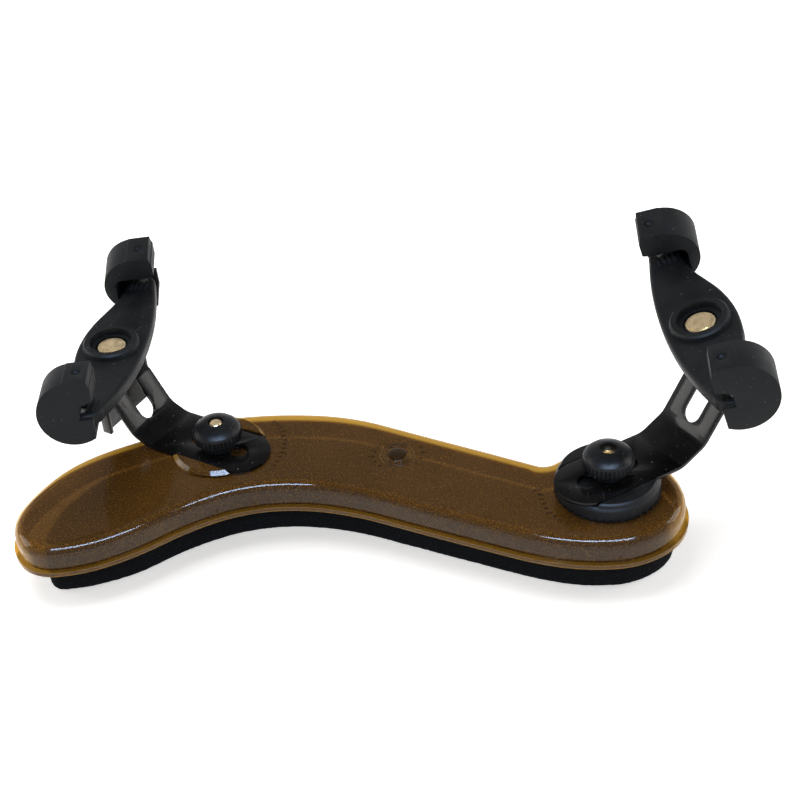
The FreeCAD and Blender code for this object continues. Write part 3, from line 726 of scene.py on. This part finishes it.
class REST_OT_stage(bpy.types.Operator):
    """Pale floor, soft lamps, white surroundings and the camera"""
    bl_idname = "rest.stage"
    bl_label = "Stage"

    def execute(self, context):
        self.add_floor()
        self.add_lamps()
        self.add_world(context.scene)
        self.add_camera(context.scene)
        context.scene.view_settings.view_transform = "Standard"
        return {"FINISHED"}

    def add_floor(self):
        bpy.ops.object.select_all(action="DESELECT")
        bpy.ops.mesh.primitive_plane_add(size=6, location=(0, 0, -0.05 * MM))
        floor = bpy.context.object
        floor.name = "floor"
        material = bpy.data.materials.new("floor")
        material.use_nodes = True
        nodes = material.node_tree.nodes
        links = material.node_tree.links
        shader = nodes["Principled BSDF"]
        shader.inputs["Base Color"].default_value = (*bpy.context.scene.rest_stage.floor, 1)
        shader.inputs["Roughness"].default_value = 0.9
        shader.inputs["Specular IOR Level"].default_value = 0.1
        glow = nodes.new("ShaderNodeEmission")
        seen = self.seen_rays(nodes, links)
        share = nodes.new("ShaderNodeMix")
        share.inputs["B"].default_value = FLOOR_GLOW
        links.new(seen, share.inputs["Factor"])
        links.new(share.outputs[0], glow.inputs["Strength"])
        both = nodes.new("ShaderNodeAddShader")
        links.new(shader.outputs[0], both.inputs[0])
        links.new(glow.outputs[0], both.inputs[1])
        links.new(both.outputs[0], nodes["Material Output"].inputs["Surface"])
        floor.data.materials.append(material)

    def seen_rays(self, nodes, links):
        """1 for rays that show the surroundings: camera, glossy and transmission."""
        path = nodes.new("ShaderNodeLightPath")
        total = path.outputs["Is Camera Ray"]
        for name in ("Is Glossy Ray", "Is Transmission Ray"):
            both = nodes.new("ShaderNodeMath")
            both.operation = "MAXIMUM"
            links.new(total, both.inputs[0])
            links.new(path.outputs[name], both.inputs[1])
            total = both.outputs[0]
        return total

    def add_lamp(self, name, offset, size, power, tint):
        """A soft lamp at an offset from the aim, turned towards it."""
        data = bpy.data.lights.new(name, "AREA")
        data.shape = "RECTANGLE"
        data.size, data.size_y = size
        data.energy = power
        data.color = tint
        lamp = bpy.data.objects.new(name, data)
        bpy.context.scene.collection.objects.link(lamp)
        lamp.location = AIM + Vector(offset)
        lamp.rotation_euler = (AIM - lamp.location).to_track_quat("-Z", "Y").to_euler()
        return lamp

    def add_lamps(self):
        """The overhead lamp lights without a reflection, and the window only shows as one."""
        overhead = self.add_lamp("overhead", (-0.15, 0.30, 0.95), (0.9, 0.7), 7.0, (1.0, 0.985, 0.96))
        overhead.visible_glossy = False
        window = self.add_lamp("window", (0.05, -0.62, 0.80), (0.9, 0.20), 17.0, (0.50, 0.69, 1.0))
        window.visible_diffuse = False
        for name, sideways in (("side_left", -0.9), ("side_right", 0.9)):
            self.add_lamp(name, (sideways, 0.15, 0.40), (0.5, 0.5), 2.4, (1.0, 0.98, 0.95))

    def add_world(self, scene):
        """White to the camera; for the rest a pale horizon under a dim ceiling."""
        world = bpy.data.worlds.new("surroundings")
        scene.world = world
        world.use_nodes = True
        nodes = world.node_tree.nodes
        links = world.node_tree.links
        direction = nodes.new("ShaderNodeTexCoord")
        parts = nodes.new("ShaderNodeSeparateXYZ")
        links.new(direction.outputs["Generated"], parts.inputs[0])
        fade = nodes.new("ShaderNodeMapRange")
        fade.inputs["From Max"].default_value = CEILING_FROM
        fade.inputs["To Min"].default_value = HORIZON_GLOW
        fade.inputs["To Max"].default_value = CEILING_GLOW
        links.new(parts.outputs[2], fade.inputs["Value"])
        share = nodes.new("ShaderNodeMix")
        share.inputs["B"].default_value = 1.0
        path = nodes.new("ShaderNodeLightPath")
        links.new(path.outputs["Is Camera Ray"], share.inputs["Factor"])
        links.new(fade.outputs[0], share.inputs["A"])
        ground = nodes["Background"]
        ground.inputs["Color"].default_value = (1, 1, 1, 1)
        links.new(share.outputs[0], ground.inputs["Strength"])

    def add_camera(self, scene):
        s = scene.rest_stage
        back = Vector((0, -math.cos(s.elevation), math.sin(s.elevation)))
        level = Vector((1, 0, 0))
        rise = back.cross(level)
        right = level * math.cos(s.roll) - rise * math.sin(s.roll)
        up = rise * math.cos(s.roll) + level * math.sin(s.roll)
        width = SENSOR / s.lens * s.distance
        data = bpy.data.cameras.new("camera")
        data.lens = s.lens
        data.clip_end = 20
        camera = bpy.data.objects.new("camera", data)
        scene.collection.objects.link(camera)
        place = AIM + back * s.distance + right * AIM_LEFT * width + up * AIM_BELOW * width
        turn = Matrix((right, up, back)).transposed().to_4x4()
        camera.matrix_world = Matrix.Translation(place) @ turn
        scene.camera = camera


OPERATORS = (REST_OT_stage, REST_OT_shell, REST_OT_foam, REST_OT_legs, REST_OT_mouldings, REST_OT_forks,
             REST_OT_claws, REST_OT_hardware)


class REST_PT_panel(bpy.types.Panel):
    """Steps of the shoulder rest, in order"""
    bl_idname = "REST_PT_panel"
    bl_label = "Shoulder rest"
    bl_space_type = "VIEW_3D"
    bl_region_type = "UI"
    bl_category = "Shoulder rest"

    def draw(self, context):
        for operator in OPERATORS:
            self.layout.operator(operator.bl_idname)
        for settings in (context.scene.rest_finishes, context.scene.rest_sizes, context.scene.rest_stage):
            box = self.layout.box()
            for name in settings.__annotations__:
                box.prop(settings, name)


GROUPS = {"rest_finishes": FinishSettings, "rest_sizes": SizeSettings, "rest_stage": StageSettings}


def register():
    for name, group in GROUPS.items():
        bpy.utils.register_class(group)
        setattr(bpy.types.Scene, name, bpy.props.PointerProperty(type=group))
    for operator in OPERATORS:
        bpy.utils.register_class(operator)
    bpy.utils.register_class(REST_PT_panel)


def unregister():
    bpy.utils.unregister_class(REST_PT_panel)
    for operator in reversed(OPERATORS):
        bpy.utils.unregister_class(operator)
    for name, group in GROUPS.items():
        delattr(bpy.types.Scene, name)
        bpy.utils.unregister_class(group)


def main():
    register()
    for operator in OPERATORS:
        group, name = operator.bl_idname.split(".")
        getattr(getattr(bpy.ops, group), name)()


if __name__ == "__main__":
    main()
